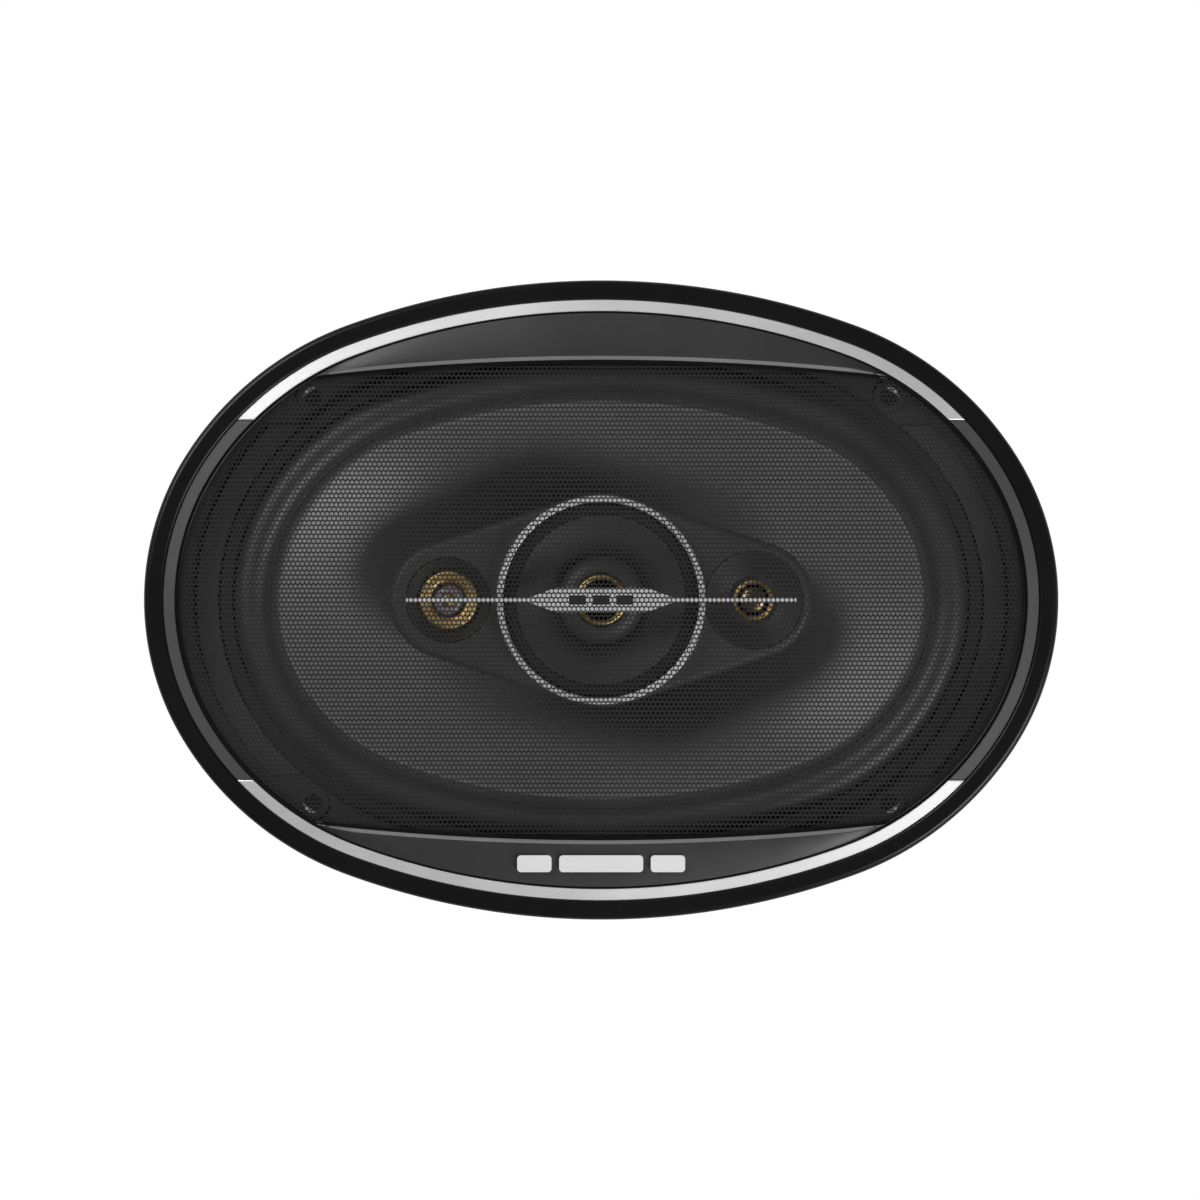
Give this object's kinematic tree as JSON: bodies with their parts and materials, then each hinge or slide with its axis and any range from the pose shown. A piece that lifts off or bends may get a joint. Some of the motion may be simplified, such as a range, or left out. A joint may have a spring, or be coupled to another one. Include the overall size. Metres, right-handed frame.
{
  "type": "coaxial car speaker",
  "caption": "Oval coaxial car speaker with a woofer cone, a midrange and small tweeters on a bridge, behind a removable perforated grille.",
  "frame": {"origin": "centre of the screw pattern on the mounting flange's back face", "axes": "+Z is the way the speaker faces, +X its long axis, +Y up when its badge is at the bottom"},
  "size_m": [0.24, 0.1678, 0.099],
  "materials": {
    "basket_paint": "satin black powder coat",
    "gasket_foam": "matte foam",
    "zinc_steel": "zinc plated",
    "ferrite": "sintered ferrite, satin",
    "copper_cap": "copper, satin",
    "turned_steel": "turned",
    "board_laminate": "phenolic laminate",
    "brass_rivet": "satin",
    "tin_brass": "tin plated",
    "capacitor_sleeve": "shrink sleeve",
    "pod_plastic": "fine textured black",
    "unit_plastic": "satin black",
    "screw_steel": "blackened",
    "bright_ring": "satin chrome",
    "gold_plate": "gold anodised, satin",
    "gold_dome": "thin metal, glossy",
    "disc_film": "satin grey",
    "mid_paper": "coated fibre",
    "mid_foam": "matte",
    "copper_wire": "enamelled copper wire",
    "nickel_magnet": "nickel plated",
    "dome_film": "thin satin film",
    "lead_jacket": "insulated twin lead",
    "cone_fibre": "woven fibre, resin faced",
    "roll_rubber": "satin",
    "former_film": "polyimide film",
    "glue_bead": "cured adhesive",
    "spider_cloth": "resin dipped cloth",
    "tinsel_braid": "braided tinsel",
    "bezel_gloss": "piano black",
    "mesh_paint": "perforated steel, satin black",
    "trim_silver": "satin silver",
    "band_plastic": "satin dark grey",
    "insert_brushed": "fine brushed dark grey",
    "badge_silver": "satin",
    "spring_steel": "spring steel"
  },
  "bodies": {
    "chassis": {"back_plate": "zinc_steel", "basket": "basket_paint", "board_rivets": "brass_rivet", "capacitor": "capacitor_sleeve", "front_gasket": "gasket_foam", "magnet": "ferrite", "mid_frame": "unit_plastic", "mid_magnet": "ferrite", "mid_plug": "gold_plate", "mid_top_plate": "zinc_steel", "mid_trim_ring": "bright_ring", "mid_yoke": "zinc_steel", "negative_terminal": "tin_brass", "pod_cover": "pod_plastic", "pod_housing": "pod_plastic", "pod_lead": "lead_jacket", "pod_screws": "screw_steel", "positive_terminal": "tin_brass", "post": "turned_steel", "post_nut": "turned_steel", "shorting_cap": "copper_cap", "super_tweeter_face": "unit_plastic", "super_tweeter_magnet": "nickel_magnet", "super_tweeter_ring": "gold_plate", "super_tweeter_yoke": "zinc_steel", "terminal_board": "board_laminate", "top_plate": "zinc_steel", "tweeter_face": "unit_plastic", "tweeter_magnet": "nickel_magnet", "tweeter_plug": "gold_plate", "tweeter_ring": "gold_plate", "tweeter_yoke": "zinc_steel"},
    "woofer": {"woofer_cone": "cone_fibre", "surround": "roll_rubber", "coil_former": "former_film", "voice_coil": "copper_wire", "neck_ring": "glue_bead", "spider": "spider_cloth", "tinsel_leads": "tinsel_braid"},
    "midrange": {"mid_cone": "mid_paper", "mid_disc": "disc_film", "mid_surround": "mid_foam", "mid_coil": "copper_wire"},
    "tweeter": {"tweeter_dome": "dome_film", "tweeter_coil": "copper_wire"},
    "super_tweeter": {"super_tweeter_dome": "gold_dome", "super_tweeter_coil": "copper_wire"},
    "grille": {"grille_frame": "bezel_gloss", "grille_mesh": "mesh_paint", "trim_top": "trim_silver", "trim_bottom": "trim_silver", "side_bands": "band_plastic", "insert_top": "insert_brushed", "insert_bottom": "insert_brushed", "badge": "badge_silver", "centre_bar": "trim_silver", "grille_clips": "spring_steel"}
  },
  "joints": [
    {"name": "woofer_excursion", "type": "slide", "parent": "chassis", "child": "woofer", "axis": [0, 0, 1], "range_m": [-0.005, 0.005], "stiffness_N_per_m": 2200, "deforming": ["surround", "spider", "tinsel_leads"]},
    {"name": "midrange_excursion", "type": "slide", "parent": "chassis", "child": "midrange", "axis": [0, 0, 1], "range_m": [-0.0008, 0.0008], "stiffness_N_per_m": 1500, "deforming": ["mid_surround"]},
    {"name": "tweeter_excursion", "type": "slide", "parent": "chassis", "child": "tweeter", "axis": [0, 0, 1], "range_m": [-0.0003, 0.0003], "stiffness_N_per_m": 800},
    {"name": "super_tweeter_excursion", "type": "slide", "parent": "chassis", "child": "super_tweeter", "axis": [0, 0, 1], "range_m": [-0.0002, 0.0002], "stiffness_N_per_m": 800},
    {"name": "grille_lift", "type": "slide", "parent": "chassis", "child": "grille", "axis": [0, 0, 1], "range_m": [0, 0.03]}
  ]
}
